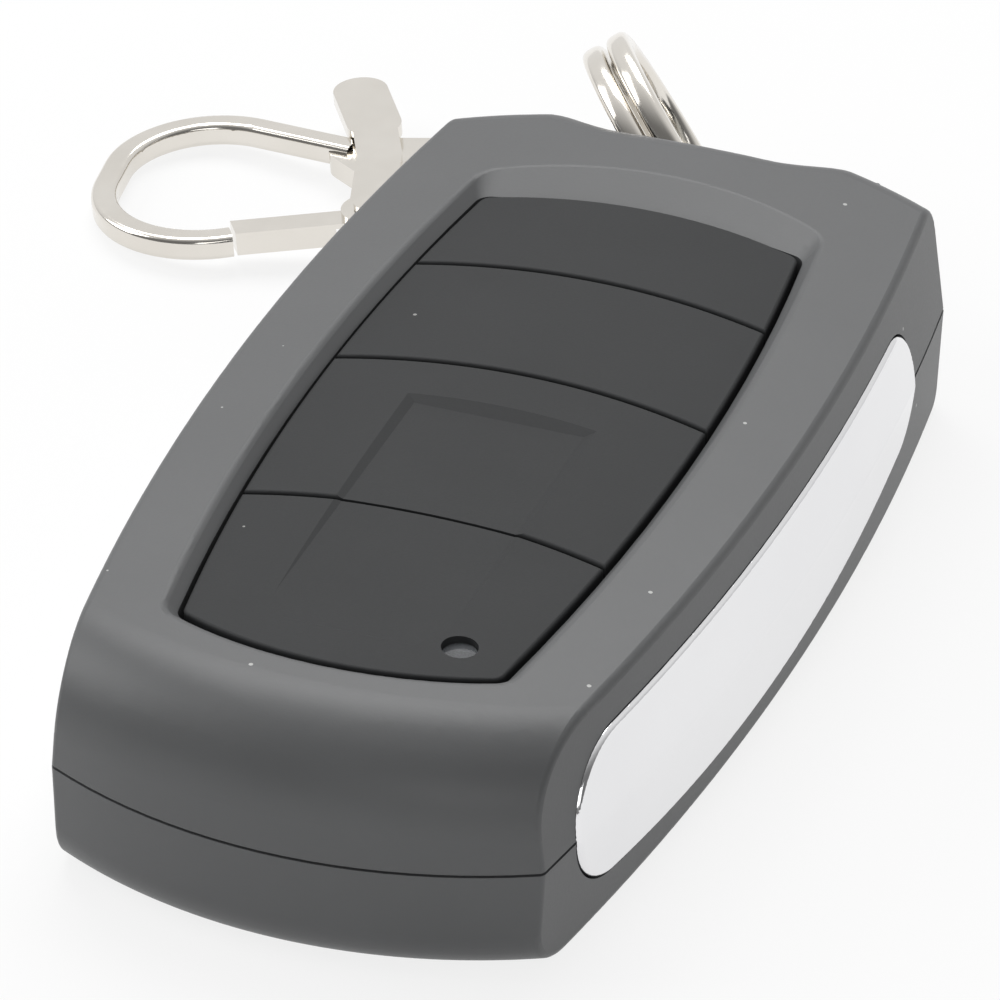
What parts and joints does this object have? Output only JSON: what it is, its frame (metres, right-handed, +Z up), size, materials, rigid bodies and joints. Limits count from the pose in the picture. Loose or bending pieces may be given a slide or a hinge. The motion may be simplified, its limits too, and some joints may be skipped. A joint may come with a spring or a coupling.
{
  "type": "gate remote control",
  "caption": "Hand-held gate remote: arched two-shell case with bowed keys, polished side inlays and a status light, on a split ring with a swivel trigger clasp.",
  "frame": {"origin": "middle of the flat underside of the case", "axes": "+Z up through the keys, +Y along the case to its key ring end, +X across the case towards the light"},
  "size_m": [0.0542, 0.0806, 0.0144],
  "materials": {
    "case_plastic": "satin",
    "key_plastic": "matte",
    "polished_trim": "polished",
    "board_laminate": "satin",
    "switch_plastic": "matte",
    "plunger_plastic": "matte",
    "clear_resin": "clear",
    "chip_ceramic": "matte",
    "copper_track": "satin",
    "cell_steel": "brushed",
    "plated_steel": "satin",
    "screw_steel": "satin",
    "nickel_plate": "polished"
  },
  "bodies": {
    "case": {"upper_case": "case_plastic", "lower_case": "case_plastic", "side_trim_right": "polished_trim", "side_trim_left": "polished_trim", "circuit_board": "board_laminate", "switch_body_1": "switch_plastic", "switch_body_2": "switch_plastic", "switch_body_3": "switch_plastic", "switch_body_4": "switch_plastic", "status_led": "clear_resin", "microcontroller_chip": "switch_plastic", "radio_chip": "switch_plastic", "crystal": "plated_steel", "chip_parts": "chip_ceramic", "antenna": "copper_track", "coin_cell": "cell_steel", "battery_contact": "plated_steel", "battery_clip": "plated_steel", "case_screws": "screw_steel", "ring_pin": "screw_steel"},
    "key_1": {"button_1": "key_plastic", "switch_plunger_1": "plunger_plastic"},
    "key_2": {"button_2": "key_plastic", "switch_plunger_2": "plunger_plastic"},
    "key_3": {"button_3": "key_plastic", "switch_plunger_3": "plunger_plastic"},
    "key_4": {"button_4": "key_plastic", "switch_plunger_4": "plunger_plastic", "light_pipe": "clear_resin"},
    "ring": {"split_ring": "nickel_plate"},
    "eye": {"swivel_eye": "nickel_plate"},
    "clasp": {"clasp_hook": "nickel_plate", "gate_pin": "nickel_plate", "gate_spring": "screw_steel"},
    "gate": {"gate_lever": "nickel_plate"}
  },
  "joints": [
    {"name": "key_1_press", "type": "slide", "parent": "case", "child": "key_1", "axis": [0, 0, -1], "range_m": [0, 0.0003], "stiffness_N_per_m": 2500},
    {"name": "key_2_press", "type": "slide", "parent": "case", "child": "key_2", "axis": [0, 0, -1], "range_m": [0, 0.0003], "stiffness_N_per_m": 2500},
    {"name": "key_3_press", "type": "slide", "parent": "case", "child": "key_3", "axis": [0, 0, -1], "range_m": [0, 0.0003], "stiffness_N_per_m": 2500},
    {"name": "key_4_press", "type": "slide", "parent": "case", "child": "key_4", "axis": [0, 0, -1], "range_m": [0, 0.0003], "stiffness_N_per_m": 2500},
    {"name": "ring_swing", "type": "hinge", "parent": "case", "child": "ring", "pos_m": [0, 0.03465, 0.0082], "axis": [1, 0, 0], "range_deg": [-45, 18]},
    {"name": "eye_swing", "type": "hinge", "parent": "ring", "child": "eye", "pos_m": [-0.00503, 0.04351, 0.00337], "axis": [0.6656, -0.3701, -0.6481], "range_deg": [-10, 100]},
    {"name": "clasp_swivel", "type": "hinge", "parent": "eye", "child": "clasp", "pos_m": [-0.00553, 0.04346, 0.00337], "axis": [-0.9926, -0.0906, -0.0806], "range_deg": [-175, 175]},
    {"name": "gate_open", "type": "hinge", "parent": "clasp", "child": "gate", "pos_m": [-0.02018, 0.03301, 0.00218], "axis": [0.0809, 0, -0.9967], "range_deg": [0, 25], "stiffness_Nm_per_rad": 0.01, "springref_deg": -17.19}
  ]
}
